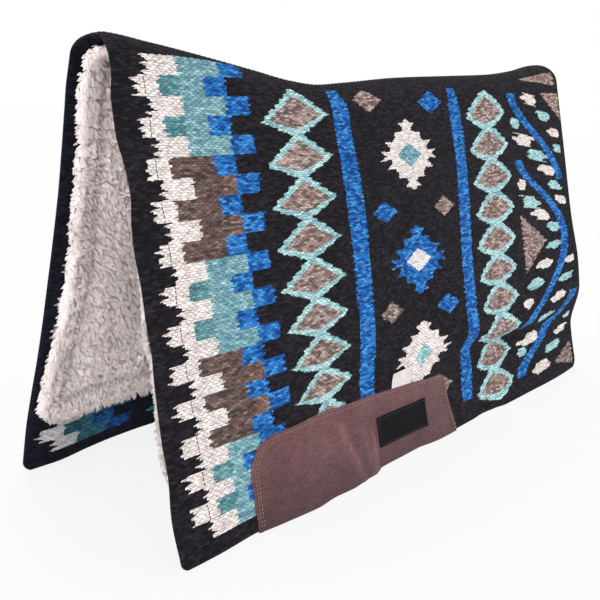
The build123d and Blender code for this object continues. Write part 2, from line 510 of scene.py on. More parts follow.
def rear_figure(s, h, tooth, yarn):
    """Blue arms in nested chevrons that point to the rear, with flecks between them."""
    for row in FLECK_ROWS:
        flecks(s, h, yarn, *row)
    ragged = s + 2.5 * tooth
    for span, lowest, highest in WEDGES:
        low, high = np.interp(ragged, span, lowest), np.interp(ragged, span, highest)
        yarn[within(ragged, *span) & (h > low) & (h < high)] = TAUPE
    for route, low, high, half in ARMS:
        yarn[within(h, low, high) & (np.abs(s + tooth - route(h)) < half)] = BLUE


def figure(s, h, tooth):
    """The yarn at each place; tooth runs from -1 to 1 and back over every few weft rows."""
    yarn = np.full(s.shape, GROUND)
    for part in (front_band, diamond_chains, stripes, stars, rear_figure):
        part(s, h, tooth, yarn)
    return yarn


# ---- materials ---------------------------------------------------------------------------
class Nodes:
    """The node tree of a material or of the world, with short ways to add and join nodes."""

    def __init__(self, owner, shader="Principled BSDF", **settings):
        self.owner = owner
        owner.use_nodes = True
        self.tree = owner.node_tree
        self.shader = self.tree.nodes[shader]
        for socket, value in settings.items():
            self.shader.inputs[socket.replace("_", " ")].default_value = value

    def add(self, kind, **settings):
        node = self.tree.nodes.new(kind)
        for key, value in settings.items():
            setattr(node, key, value)
        return node

    def join(self, source, target):
        self.tree.links.new(source, target)

    def math(self, operation, a, b=0.0, clamp=False):
        node = self.add("ShaderNodeMath", operation=operation, use_clamp=clamp)
        for socket, value in zip(node.inputs, (a, b)):
            if isinstance(value, (int, float)):
                socket.default_value = value
            else:
                self.join(value, socket)
        return node.outputs[0]

    def product(self, value, *factors):
        for factor in factors:
            value = self.math("MULTIPLY", value, factor)
        return value

    def noise(self, scale, stretch=(1, 1, 1), detail=2.0, kind="ShaderNodeTexNoise"):
        """Noise in object space; scale is in features per metre."""
        place_node = self.add("ShaderNodeTexCoord")
        mapping = self.add("ShaderNodeMapping")
        mapping.inputs["Scale"].default_value = stretch
        self.join(place_node.outputs["Object"], mapping.inputs["Vector"])
        texture = self.add(kind)
        texture.inputs["Scale"].default_value = scale
        if "Detail" in texture.inputs:
            texture.inputs["Detail"].default_value = detail
        self.join(mapping.outputs[0], texture.inputs["Vector"])
        return texture.outputs[0]

    def spread(self, value, low, high, start=0.0, end=1.0, kind="LINEAR"):
        """A value from start to end, spread over low to high."""
        node = self.add("ShaderNodeMapRange", interpolation_type=kind)
        self.join(value, node.inputs["Value"])
        for socket, limit in (("From Min", start), ("From Max", end), ("To Min", low),
                              ("To Max", high)):
            node.inputs[socket].default_value = limit
        return node.outputs[0]

    def ramp(self, value, *stops):
        """Colours at places along a value, as (place, linear rgb)."""
        node = self.add("ShaderNodeValToRGB")
        elements = node.color_ramp.elements
        for _ in range(len(stops) - len(elements)):
            elements.new(0.5)
        for element, (at, rgb) in zip(elements, stops):
            element.position = at
            element.color = (*rgb, 1)
        self.join(value, node.inputs[0])
        return node.outputs[0]

    def tint(self, colour, factor):
        """A colour times a grey factor."""
        node = self.add("ShaderNodeVectorMath", operation="SCALE")
        self.join(colour, node.inputs[0])
        self.join(factor, node.inputs["Scale"])
        return node.outputs[0]

    def attribute(self, name, output):
        node = self.add("ShaderNodeAttribute", attribute_name=name)
        return node.outputs[output]

    def separate(self, vector):
        node = self.add("ShaderNodeSeparateXYZ")
        self.join(vector, node.inputs[0])
        return node.outputs

    def relief(self, *bumps):
        """A normal from bumps laid over each other, as (height, distance, strength)."""
        normal = None
        for height, distance, strength in bumps:
            node = self.add("ShaderNodeBump")
            node.inputs["Strength"].default_value = strength
            node.inputs["Distance"].default_value = distance
            self.join(height, node.inputs["Height"])
            if normal is not None:
                self.join(normal, node.inputs["Normal"])
            normal = node.outputs[0]
        return normal

    def finish(self, colour=None, normal=None, roughness=None):
        for output, socket in ((colour, "Base Color"), (normal, "Normal"),
                               (roughness, "Roughness")):
            if output is not None:
                self.join(output, self.shader.inputs[socket])
        return self.owner


def material_nodes(name, **settings):
    return Nodes(bpy.data.materials.new(name), **settings)


def woven_wool():
    """Soft oval stitches in a brick layout; where two yarns meet, their fibres mingle."""
    n = material_nodes("woven_wool", Roughness=0.95, Sheen_Weight=0.03, Specular_IOR_Level=0.15)
    along, across, blend = n.separate(n.attribute("stitch", "Vector"))
    stray = n.noise(330.0, (0.6, 1, 1))
    across = n.math("ABSOLUTE", n.math("ADD", across, n.spread(stray, -0.7, 0.7)))
    swell = n.math("COSINE", n.math("MULTIPLY", along, math.pi))
    reach = n.math("ADD", 1.0, n.math("MULTIPLY", swell, 0.6))
    own = n.math("DIVIDE", across, reach)
    beyond = n.math("DIVIDE", n.math("SUBTRACT", 2.0, across), n.math("SUBTRACT", 2.0, reach))
    from_middle = n.math("MINIMUM", own, n.math("ABSOLUTE", beyond))
    oval = n.math("SUBTRACT", 1.0, n.math("POWER", from_middle, 2.2), clamp=True)
    fibre = n.noise(1.0, (420, 2400, 2400), 3.0)
    strand = n.noise(1.0, (170, 640, 640), 3.0)
    ragged = n.math("ADD", blend, n.spread(strand, -0.45, 0.45))
    mix = n.add("ShaderNodeMix", data_type="RGBA")
    n.join(n.spread(ragged, 0.0, 1.0, 0.36, 0.64, "SMOOTHSTEP"), mix.inputs["Factor"])
    n.join(n.attribute("yarn", "Color"), mix.inputs["A"])
    n.join(n.attribute("yarn_beyond", "Color"), mix.inputs["B"])
    broad = n.noise(14.0)
    # The oval also darkens the colour in the gaps between stitches and lightens their crowns: painted
    # shade and painted highlight.
    light = n.product(n.spread(oval, 0.66, 1.18), n.spread(fibre, 0.62, 1.4),
                      n.spread(strand, 0.1, 1.9), n.spread(broad, 0.92, 1.12))
    normal = n.relief((oval, 0.001, 0.8), (strand, 0.0008, 0.8), (fibre, 0.00025, 0.8))
    return n.finish(n.tint(mix.outputs["Result"], light), normal)


def fleece_material(name, dark):
    n = material_nodes(name, Roughness=0.95, Sheen_Weight=0.35, Sheen_Roughness=0.5,
                       Specular_IOR_Level=0.2, Subsurface_Weight=0.8,
                       Subsurface_Radius=(1, 1, 1), Subsurface_Scale=0.009)
    n.shader.subsurface_method = "BURLEY"
    patch = n.noise(60.0, (1, 1, 0.4), 3.0)
    fine = n.noise(900.0, (1, 1, 0.4))
    base = n.ramp(patch, (0.3, linear(234, 220, 218) * dark), (0.7, linear(245, 234, 232) * dark))
    root_to_tip, chance, shaded = n.separate(n.attribute("pile", "Vector"))
    # Painted shade: each tuft is painted darker towards its root, down among the other tufts.
    light = n.product(n.spread(root_to_tip, 0.95, 1.02), n.spread(fine, 0.96, 1.04),
                      n.spread(chance, 0.96, 1.02), n.spread(shaded, 1.0, 0.74))
    return n.finish(n.tint(base, light), n.relief((fine, 0.0004, 0.5)))


def felt_material():
    n = material_nodes("pressed_felt", Roughness=0.97, Sheen_Weight=0.3)
    fleck = n.noise(1500.0, detail=4.0)
    colour = n.ramp(fleck, (0.3, linear(120, 116, 112)), (0.7, linear(172, 167, 160)))
    return n.finish(colour, n.relief((fleck, 0.0005, 0.7)))


def leather_material():
    n = material_nodes("wear_leather", Specular_IOR_Level=0.45, Coat_Weight=0.08, Coat_Roughness=0.3)
    mottle = n.noise(28.0, (1, 1, 1.6), 4.0)
    worn = n.noise(260.0, detail=3.0)
    base = n.ramp(mottle, (0.28, linear(115, 70, 73)), (0.5, linear(126, 79, 83)),
                  (0.74, linear(138, 89, 93)))
    pebbles = n.noise(400.0, (0.7, 0.7, 1.5), kind="ShaderNodeTexVoronoi")
    pores = n.noise(2100.0)
    creases = n.noise(1.0, (110, 110, 380), 4.0)
    # The leather's attribute holds the distance from its edge, how near a fold it is, and painted
    # light: lighter higher up and to the rear, with a painted highlight on the bulge.
    edge, near_fold, painted_light = n.separate(n.attribute("edge_fold_light", "Vector"))
    # Near the folds, streaks are painted lighter: scuffing, and a painted highlight along the folds.
    streaks = n.noise(1.0, (170, 170, 22), 3.0)
    scuff_and_highlight = n.math("MULTIPLY", near_fold, n.spread(streaks, -0.7, 2.4), clamp=True)
    rim = n.math("SUBTRACT", 1.0, edge, clamp=True)
    light = n.product(n.spread(pebbles, 1.2, 0.6), n.spread(worn, 0.84, 1.16),
                      n.spread(creases, 0.3, 1.7), n.spread(painted_light, 0.55, 1.28),
                      n.spread(scuff_and_highlight, 1.0, 2.0), n.spread(rim, 1.0, 1.5))
    normal = n.relief((creases, 0.0028, 0.8), (n.spread(pebbles, 1.0, 0.0), 0.0016, 0.9),
                      (pores, 0.00012, 0.6))
    return n.finish(n.tint(base, light), normal, n.spread(worn, 0.3, 0.5))


def thread_material(name, rgb):
    n = material_nodes(name, Roughness=0.7, Sheen_Weight=0.2)
    twist = n.noise(1.0, (2600, 2600, 2600))
    colour = n.ramp(twist, (0.3, linear(*rgb) * 0.75), (0.7, linear(*rgb)))
    return n.finish(colour, n.relief((twist, 0.0002, 0.6)))


def label_material():
    n = material_nodes("label_cloth", Roughness=0.75, Specular_IOR_Level=0.12)
    ribs = n.noise(1.0, (300, 300, 5200), 1.0)
    threads = n.noise(1.0, (3600, 1, 300), 1.0)
    weave = n.math("ADD", n.math("MULTIPLY", ribs, 0.5), n.math("MULTIPLY", threads, 0.5))
    colour = n.ramp(weave, (0.3, linear(8, 8, 10)), (0.7, linear(22, 22, 26)))
    return n.finish(colour, n.relief((weave, 0.0003, 0.8)))


def tag_material():
    n = material_nodes("tag_cloth", Roughness=0.4, Sheen_Weight=0.15)
    threads = n.noise(1.0, (3000, 3000, 300))
    soil = n.noise(120.0)
    base = n.ramp(soil, (0.3, linear(226, 217, 216)), (0.7, linear(242, 234, 233)))
    return n.finish(n.tint(base, n.spread(threads, 0.94, 1.04)), n.relief((threads, 0.0001, 0.5)))


WOOL = woven_wool()
# The fleece's body under the pile is painted darker: painted shade under the tufts.
FLEECE_BACKING = fleece_material("fleece_backing", 0.92)
FLEECE_PILE = fleece_material("fleece", 1.0)
FELT_CLOTH = felt_material()
LEATHER = leather_material()
TAN_THREAD = thread_material("tan_thread", (176, 142, 120))
BLACK_THREAD = thread_material("black_thread", (46, 46, 52))
# Painted shade for the gaps of the slits in the weave.
PAINTED_SLIT_SHADE = thread_material("painted_slit_shade", (70, 62, 66))
LABEL_CLOTH = label_material()
TAG_CLOTH = tag_material()

# ---- woven cover -------------------------------------------------------------------------
STITCH_COUNT, ROW_COUNT = 120, 200
STITCH = LENGTH / STITCH_COUNT
ROW = FULL_GIRTH / ROW_COUNT
RELIEF = 0.8                    # height of a stitch over the gaps round it
ROLL = COVER / 2                # radius of the cover's rolled edge


def on_cover(side, f, n):
    """s and h of a place that is f along and n up the uncut cloth."""
    first, last = ends(side, climb(n, f))
    s = first + f * (last - first) / LENGTH
    return s, climb(n, s)


EDGE_STEPS = np.array([0, 0.3, 1.0, 2.2])   # columns close to the ends, for the rolled edge
TEETH_COLUMN = 37               # one column of teeth has the same reach over this s
# How far a tooth reaches at each half row of the three rows that make it: it curls upwards.
TEETH = np.array([-1.0, -0.6, -0.1, 0.5, 1.0, 0.1])


def woven_face(name, side, inner):
    """One face of the double-woven cover, a raised oval for every weft stitch."""
    columns = np.concatenate([EDGE_STEPS, np.arange(1, 2 * STITCH_COUNT) * STITCH / 2,
                              LENGTH - EDGE_STEPS[::-1]])
    rows = np.concatenate([[0, 0.35], np.arange(1, 2 * ROW_COUNT + 1) * ROW / 2])
    f, n = np.meshgrid(columns, rows)
    s, h = on_cover(side, f, n)
    edge = np.minimum(np.minimum(f, LENGTH - f), n)
    weft = np.floor(n / ROW)
    along = np.sin(math.pi * (f / STITCH - 0.5 * (weft % 2))) ** 2
    raised = RELIEF * np.sin(math.pi * n / ROW) ** 2 * (0.3 + 0.7 * along)
    raised *= np.clip(edge / 3, 0, 1)
    depth = rounding(edge, ROLL) - raised
    points = place(side, s, h, COVER - depth if inner else depth).reshape(-1, 3)
    faces = grid_faces(len(rows), len(columns), (side == RIGHT) != inner)
    made = make_object(name, points, faces, WOOL)
    # Each quad belongs to one stitch, found from the quad's middle.  Where a quad's corners have
    # different yarns, blend is 0 at its first yarn and 1 at its second.
    half_row = np.round(2 * n / ROW).astype(int)
    reach = 0.4 + 1.2 * scatter(half_row // len(TEETH), np.floor(s / TEETH_COLUMN), side)
    tooth = TEETH[half_row % len(TEETH)] * reach
    kinds = figure(s, h, tooth).ravel()[faces]
    differs = kinds != kinds[:, :1]
    other = kinds[np.arange(len(kinds)), differs.argmax(1)]
    face_f, face_n = f.ravel()[faces], n.ravel()[faces]
    weft = np.floor(face_n.mean(1) / ROW)
    shift = 0.5 * (weft % 2)
    number = np.floor(face_f.mean(1) / STITCH - shift)
    u = 2 * (face_f / STITCH - shift[:, None] - number[:, None]) - 1
    v = 2 * (face_n / ROW - weft[:, None]) - 1
    salt = np.full_like(weft, side * (3.0 + inner))
    shade = np.floor(scatter(number, weft, salt) ** 1.4 * YARN_SHADES.shape[1]).astype(int)
    light = 0.88 + 0.24 * scatter(weft, number, salt + 0.5)
    # On the cover's back, painted shade darkens the yarn colours.
    for layer, kind in (("yarn", kinds[:, 0]), ("yarn_beyond", other)):
        rgb = YARN_SHADES[kind, shade] * light[:, None]
        add_colour(made, layer, rgb * INNER_PAINTED_SHADE[kind] if inner else rgb)
    add_vector(made, "stitch", np.stack([u, v, differs.astype(float)], -1))
    add_uv(made, face_f / LENGTH, face_n / FULL_GIRTH)
    return made


SLIT_PLACE = 31.5               # s of the slits
SLIT_HALF = 0.45


def slits(name, side):
    """The short slits that the weave leaves in the forward cream blocks, drawn as thin dark strips on
    the cover: painted shade in the gaps.
    """
    points, faces = [], []
    for _, foot, top, forward in band_steps():
        if not forward:
            continue
        h = np.linspace(foot + 1, top - 1, 8)[:, None]
        s = SLIT_PLACE + 0.5 * np.sin(h / 5) + np.array([[-SLIT_HALF, 0.0, SLIT_HALF]])
        slab_points, slab_faces = flap_slab(side, s, h, np.array([[-0.35, -0.75, -0.35]]), 0.2)
        faces.append(slab_faces + sum(len(p) for p in points))
        points.append(slab_points)
    return make_object(name, np.concatenate(points), np.concatenate(faces), PAINTED_SLIT_SHADE)


# ---- felt and fleece ---------------------------------------------------------------------
FELT_END, FELT_FOOT = 47.0, 107.0
FELT_EASE = 9.0                 # the seen felt stays this far inside its cut edge
FELT_ROUND = 30.0
FLEECE_REAR, FLEECE_FOOT = 11.0, 68.0
FLEECE_ROUND = {LEFT: 10.0, RIGHT: 24.0}    # its front foot corner
FLEECE_REAR_ROUND = 22.0
MARGIN = 27.0                   # fleece edge to the sewn valley round the raised field
FIELD_RISE = 26.0               # width of the slope from the valley up to the field
SEWN_THICK = 1.5                # the fleece where it is sewn down
THINNEST = 0.8                  # of the fleece's body
PILE_LENGTH = 5.8
LOCK, LOCK_TALL = 9.0, 14.4     # width and height of a lock of pile
# Up to these shares of all tufts stand at the fleece's front edge, rear edge and foot.
EDGE_TUFTS = (0.04, 0.07, 0.1)
NEAR_END, NEAR_FOOT = 0.007, 0.015  # how near they stand, as shares of its length and height
TUFT_RADIUS = (1.4, 2.2)
TUFT_UNEVEN = (0.8, 1.25)       # times PILE_LENGTH
TUFT_SUNK = 1.0                 # a tuft's root is this deep in the fleece's body
TUFT_LEAN = 3.3
FAN = 1.25                      # how far tufts at the ends turn outwards, in radians
TIP = 6                         # a tuft's last corner, over two rings of three
# How far the fleece's front edge lies behind the cover's.  Tufts reach past it.
fleece_front = {LEFT: curve((66, 14), (80, 8), (100, 5), (128, 5.5), (190, 7), (212, 2), (235, 5),
                            (260, 8), (330, 12), (440, 15), (500, 22)),
                RIGHT: curve((68, 6), (80, 7), (103, 8), (150, 11), (172, 14), (200, 16),
                             (240, 18), (310, 15), (380, 14), (402, 13), (440, 11), (470, 13),
                             (500, 21))}


def felt_panel(spacing):
    """A grid over the felt's panel, with rounded corners at its foot."""
    start, foot = FELT_END + FELT_EASE, FELT_FOOT + FELT_EASE / 2
    width = LENGTH - 2 * start
    f = np.linspace(0, width, int(width / spacing) + 1)
    n = np.linspace(foot, FULL_GIRTH, int((FULL_GIRTH - foot) / spacing) + 1)
    f, n = np.meshgrid(f, n)
    inset = rounding(n - foot, FELT_ROUND)
    s = start + inset + f * (width - 2 * inset) / width
    return s, climb(n, s)


def fleece_panel(side, share, n):
    """s, h and distance from the fleece's edge, for a share of its width and a place n up it."""
    h = climb(n, share * LENGTH)
    low = n - FLEECE_FOOT
    front = ends(side, h)[0] + fleece_front[side](h) + rounding(low, FLEECE_ROUND[side])
    rear = LENGTH - FLEECE_REAR - rounding(low, FLEECE_REAR_ROUND)
    s = front + share * (rear - front)
    edge = np.minimum(np.minimum(s - front, rear - s), low)
    return s, climb(n, s), edge


def fleece_depth(edge):
    """Depth of the fleece's surface: a puffy margin, a sewn valley and the raised field."""
    share = edge / MARGIN
    puff = np.sqrt(np.clip(1 - (1 - 4 * np.clip(share, 0, 0.25)) ** 2, 0, 1))
    puff = puff * (1 - 0.8 * ease(share, 0.45, 1))
    start = 0.25                # the field rises from the valley at once, not softly
    field = smooth((edge - MARGIN) / FIELD_RISE * (1 - start) + start) - smooth(start)
    field = field / (1 - smooth(start))
    sewn = FELT_DEPTH + SEWN_THICK
    full = FLEECE - PILE_LENGTH * 0.5 - SEWN_THICK
    on_margin, valley = sewn + full * puff, sewn + 0.2 * full
    on_field = valley + (FIELD_DEPTH - PILE_LENGTH * 0.8 - valley) * field
    return np.where(edge < MARGIN, on_margin, on_field)


def valley_and_edge_shade(edge):
    """How much painted shade darkens the fleece in the sewn valley, and a little at its edge."""
    return 0.85 * bump(edge, MARGIN, 4.5) + 0.3 * bump(edge, 0, 8)


def felt(name, side):
    s, h = felt_panel(7.0)
    return slab_object(name, side, s, h, FELT_DEPTH, FELT_DEPTH + FELT, FELT_CLOTH)


def fleece_backing(name, side):
    """The fleece's body under its pile; over the felt it fills what the felt leaves."""
    share, n = np.meshgrid(np.linspace(0, 1, 170), np.linspace(FLEECE_FOOT, FULL_GIRTH, 90))
    share = 0.005 + 0.99 * share
    s, h, edge = fleece_panel(side, share, n + 3 * (n == FLEECE_FOOT))
    surface = fleece_depth(edge) - 1.2 * ease(edge, 8, 18)
    surface = surface + 0.5 * np.sin(s / 7 + np.sin(h / 11)) * np.sin(h / 8)
    over_felt = ease(edge, MARGIN + 9, MARGIN + 13)
    back = FELT_DEPTH + (FELT + GAP) * over_felt
    surface = np.maximum(surface, back + THINNEST)
    made = slab_object(name, side, s, h, back, surface, FLEECE_BACKING)
    shaded = np.tile(valley_and_edge_shade(edge if side == LEFT else edge[:, ::-1]).ravel(), 2)
    # The body is shaded like a tuft's root: painted shade.
    pile_values = np.stack(np.broadcast_arrays(0.1, 0.5, shaded), -1)
    add_vector(made, "pile", pile_values[corner_vertices(made)])
    return made


def pile(name, side, seed, count):
    """Tufts that stand on the fleece's body: soft cones that lean together in clumps."""
    rng = np.random.default_rng(seed)
    share, n = rng.random(count), FLEECE_FOOT + rng.random(count) * (FULL_GIRTH - FLEECE_FOOT)
    front, rear, low = (int(part * count) for part in EDGE_TUFTS)
    share[:front] *= NEAR_END
    share[front:rear] = 1 - NEAR_END * share[front:rear]
    n[rear:low] = FLEECE_FOOT + NEAR_FOOT * (n[rear:low] - FLEECE_FOOT)
    s, h, edge = fleece_panel(side, share, n)
    depth = np.maximum(fleece_depth(edge), FELT_DEPTH + THINNEST) - TUFT_SUNK
    root = place(side, s, h, depth)
    inwards = unit(place(side, s, h, depth + 1) - root)
    ahead = unit(place(side, s + 1, h, depth) - root)
    upwards = np.cross(inwards, ahead) * side
    # Tufts lean towards the middle of their lock, and the locks lie mostly downwards.
    cell_s, cell_h = np.floor(s / LOCK), np.floor(h / LOCK_TALL)
    lock_s = (cell_s + 0.2 + 0.6 * scatter(cell_s, cell_h)) * LOCK
    lock_h = (cell_h + 0.2 + 0.6 * scatter(cell_h, cell_s)) * LOCK_TALL
    turn = 0.5 * np.sin(s / 29 + 1.3 * np.sin(h / 43)) + 0.4 * np.sin(h / 33 + s / 61 + seed)
    turn += rng.normal(0, 0.2, count)
    lean = TUFT_LEAN + np.sin(s / 17 + h / 25) + rng.normal(0, 0.6, count)
    lean_s = 0.42 * (lock_s - s) + lean * np.sin(turn) + rng.normal(0, 0.5, count)
    lean_h = 0.3 * (lock_h - h) - lean * np.cos(turn) + rng.normal(0, 0.5, count)
    # At the panel's ends and foot they fan outwards over the bare cover.
    to_end = np.clip(1 - edge / 6, 0, 1) * (n > FLEECE_FOOT + 8) * np.where(share < 0.5, -1, 1)
    fan = (FAN * to_end * rng.uniform(0.6, 1.1, count))[:, None]
    lean_h -= 4 * np.clip(1 - (n - FLEECE_FOOT) / 7, 0, 1)
    bend = (lean_s[:, None] * ahead + lean_h[:, None] * upwards) * MM * np.cos(fan) ** 2
    inwards = np.cos(fan) * inwards + np.sin(fan) * ahead
    length = PILE_LENGTH * rng.uniform(*TUFT_UNEVEN, count)[:, None] * MM
    radius = rng.uniform(*TUFT_RADIUS, count)[:, None] * MM
    middle = root + 0.55 * length * inwards + 0.35 * bend
    tip = root + 0.95 * length * inwards + bend
    rings = [math.cos(angle) * upwards + math.sin(angle) * ahead
             for angle in (0, 2 * math.pi / 3, 4 * math.pi / 3)]
    points = np.stack([*(root + radius * ring for ring in rings),
                       *(middle + 0.95 * radius * ring for ring in rings), tip], 1)
    one = np.array([face for a, b in ((0, 1), (1, 2), (2, 0))
                    for face in ((a, b, b + 3), (a, b + 3, a + 3), (a + 3, b + 3, TIP))])
    corners = points.shape[1]
    faces = (np.arange(count)[:, None, None] * corners + one[:, ::-side]).reshape(-1, 3)
    made = make_object(name, points.reshape(-1, 3), faces, FLEECE_PILE)
    # Soft shading: a tuft is lit much as the surface that it stands on, and locks are domed.
    tilt = rng.normal(0, 0.1, (count, 3))
    tilt += 0.3 * ((s - lock_s) / LOCK)[:, None] * ahead
    tilt += 0.3 * ((h - lock_h) / LOCK_TALL)[:, None] * upwards
    normals = np.stack([inwards + tilt + 0.3 * ring for ring in (*rings, *rings, 0 * upwards)], 1)
    made.data.normals_split_custom_set_from_vertices(normals.reshape(-1, 3).tolist())
    root_to_tip = np.array([0, 0, 0, 0.6, 0.6, 0.6, 1.0])
    chance = rng.random(count)
    tuft, corner = faces // corners, faces % corners
    # The third value is the painted shade of the sewn valley and the edge.
    add_vector(made, "pile", np.stack([root_to_tip[corner], chance[tuft], valley_and_edge_shade(edge)[tuft]], -1))
    # Each tuft has its own small cell of the baked image, its three sides next to each other.
    cells = int(math.ceil(math.sqrt(count)))
    triangle_side = np.tile(np.repeat(np.arange(3), 3), count)[:, None]
    local = np.where(corner == TIP, 0.5, (corner % 3 != triangle_side).astype(float))
    u = (tuft % cells + 0.08 + 0.84 * (triangle_side + local) / 3) / cells
    v = (tuft // cells + 0.08 + 0.84 * root_to_tip[corner]) / cells
    add_uv(made, u, v)
    return made


# ---- wear leather, label and tag ---------------------------------------------------------
LEATHER_FRONT, LEATHER_REAR = 92.0, 476.0
LEATHER_THICK = 2.4
LEATHER_LIFT = 0.7              # over the middle of the cover's face
FRONT_CORNER, REAR_CORNER = 38.0, 21.0
OUTER_SEAM, INNER_SEAM = 3.2, 6.8   # inside the leather's edge
EDGE_ROUND = 1.6
FOLD_TOP = 92.0                 # height at which the folds' places are given
# Each soft fold's s at that height and how far it runs to the rear down to the foot.
SOFT_FOLDS = ((228, 36), (268, 22))
SHARP_FOLD = 299
leather_top = curve((LEATHER_FRONT, 92.5), (185, 92.5), (235, 89.5), (300, 87.5), (350, 85.5),
                    (400, 83.5), (436, 81), (LEATHER_REAR, 79))
LEATHER_FRONT_TOP = float(leather_top(LEATHER_FRONT + FRONT_CORNER))
LEATHER_REAR_TOP = float(leather_top(LEATHER_REAR))


def leather_grid(spacing):
    width = LEATHER_REAR - LEATHER_FRONT
    a = np.linspace(0, 1, int(width / spacing))
    b = np.linspace(0, 1, int(leather_top(LEATHER_FRONT) / spacing))
    fine = np.array([0.004, 0.012])
    a = np.sort(np.concatenate([a, fine, 1 - fine]))
    b = np.sort(np.concatenate([b, 1 - 2 * fine, 2 * fine]))
    a, b = np.meshgrid(a, b)
    h = b * leather_top(LEATHER_FRONT + a * width)
    front_h, rear_h = b * LEATHER_FRONT_TOP, np.minimum(h, b * LEATHER_REAR_TOP)
    front = LEATHER_FRONT + rounding(LEATHER_FRONT_TOP - front_h, FRONT_CORNER)
    rear = LEATHER_REAR - rounding(LEATHER_REAR_TOP - rear_h, REAR_CORNER)
    s = front + a * (rear - front)
    edge = np.minimum(np.minimum(s - front, rear - s), leather_top(s) - h)
    return s, h, edge


def wear_leather(name, side):
    s, h, edge = leather_grid(2.2)
    edge_drop = rounding(np.clip(edge, 0, None), EDGE_ROUND)
    seam = -0.35 * bump(edge, OUTER_SEAM, 0.9) - 0.35 * bump(edge, INNER_SEAM, 0.9)
    puff = 0.5 * ease(edge, 8, 18)
    wrinkle = 0.22 * np.sin(h / 2.9 + 0.9 * np.sin(s / 17)) * bump(s, 215, 60)
    wrinkle = wrinkle + 0.35 * np.sin(s / 23 + h / 19) * np.sin(h / 27 - s / 61)
    # Two soft folds slant down to the rear, and a sharp one stands at the foot.
    first, second = (s - at - run * (1 - h / FOLD_TOP) for at, run in SOFT_FOLDS)
    folds = 0.9 * bump(first, 0, 5) - 0.8 * bump(first, 11, 7) + 0.7 * bump(second, 0, 4)
    sharp = bump(s, SHARP_FOLD, 4) * ease(h, 48, 18)
    inside = ease(edge, 9, 17)
    outer = -(LEATHER_LIFT + LEATHER_THICK + seam + puff + wrinkle + (folds + sharp) * inside)
    made = slab_object(name, side, s, h, outer + edge_drop, -LEATHER_LIFT, LEATHER)
    # Near the folds the leather is painted lighter: scuffing, and a painted highlight along the
    # folds.
    near_fold = 0.7 * bump(first, 0, 8) + 0.8 * bump(second, 0, 8) * ease(h, 70, 30)
    near_fold = near_fold + 1.5 * bump(s, SHARP_FOLD - 1, 5) * ease(h, 62, 27)
    # Painted light: lighter higher up and towards the rear, with a painted highlight on the bulge in
    # the middle.
    painted_light = h / 130 + (s - LEATHER_FRONT) / 1600 + 0.5 * bump(s, 205, 50) * bump(h, 62, 34)
    edge_fold_light = np.stack([edge / EDGE_ROUND, near_fold * inside, painted_light], -1)
    edge_fold_light = (edge_fold_light if side == LEFT else edge_fold_light[:, ::-1]).reshape(-1, 3)
    add_vector(made, "edge_fold_light", np.concatenate([edge_fold_light, edge_fold_light])[corner_vertices(made)])
    return made


STITCH_RINGS, STITCH_SPOKES = 5, 6
STITCH_BOW = 0.45               # how far a stitch's middle stands up


def stitches(name, side, route, lift, material, pitch=4.2, length=3.0, radius=0.42):
    """Thread stitches along a route of (s, h) points, lying on a surface at a lift."""
    route = np.array(route, float)
    steps = np.linalg.norm(np.diff(route, axis=0), axis=1)
    run = np.concatenate([[0], np.cumsum(steps)])
    starts = np.arange(0.5 * pitch, run[-1] - length, pitch)
    t = np.linspace(0, 1, STITCH_RINGS)
    points = []
    for start in starts:
        at = start + t * length
        s, h = np.interp(at, run, route[:, 0]), np.interp(at, run, route[:, 1])
        line = place(side, s, h, -(lift + STITCH_BOW * np.sin(math.pi * t)))
        outward = unit(place(side, s, h, -lift - 1.0) - place(side, s, h, -lift))
        across = np.cross(unit(np.gradient(line, axis=0)), outward)
        girth = radius * np.sqrt(np.clip(1 - (2 * t - 1) ** 2, 0.04, 1)) * MM
        for spoke in range(STITCH_SPOKES):
            angle = 2 * math.pi * spoke / STITCH_SPOKES
            turned = math.cos(angle) * outward + math.sin(angle) * across
            points.append(line + girth[:, None] * turned)
    i = np.arange(STITCH_RINGS * STITCH_SPOKES).reshape(STITCH_SPOKES, STITCH_RINGS)
    beside = np.roll(i, -1, axis=0)
    one = np.stack([i[:, :-1], beside[:, :-1], beside[:, 1:], i[:, 1:]], -1).reshape(-1, 4)
    faces = np.arange(len(starts))[:, None, None] * i.size + one
    return make_object(name, np.concatenate(points), faces.reshape(-1, 4), material)


def arc(centre, radius, start, end):
    angles = np.radians(np.linspace(start, end, 10))
    return [(centre[0] + radius * math.cos(a), centre[1] + radius * math.sin(a)) for a in angles]


def leather_seam(inset):
    """Routes inside the leather's edge: up the front, along the top and down the rear."""
    front_centre = (LEATHER_FRONT + FRONT_CORNER, LEATHER_FRONT_TOP - FRONT_CORNER)
    rear_centre = (LEATHER_REAR - REAR_CORNER, LEATHER_REAR_TOP - REAR_CORNER)
    up = [(LEATHER_FRONT + inset, 3.0)] + arc(front_centre, FRONT_CORNER - inset, 180, 90)
    along = np.linspace(front_centre[0] + 10, rear_centre[0] - 5, 14)
    top = [(s, float(leather_top(s)) - inset) for s in along]
    down = arc(rear_centre, REAR_CORNER - inset, 90, 0) + [(LEATHER_REAR - inset, 3.0)]
    return up, top, down


def flat_patch(s_range, h_range, spacing):
    s = np.linspace(*s_range, int((s_range[1] - s_range[0]) / spacing) + 1)
    h = np.linspace(*h_range, int((h_range[1] - h_range[0]) / spacing) + 1)
    return np.meshgrid(s, h)


LABEL_S, LABEL_H = (310.0, 413.0), (23.0, 59.0)
LABEL_LIFT = LEATHER_LIFT + LEATHER_THICK + 0.75
LABEL_THICK = 1.0
LABEL_SEAM = 2.4                # inside the label's edge
TAG_S, TAG_H = (350.0, 390.0), (82.0, 103.0)
TAG_THICK = 0.7


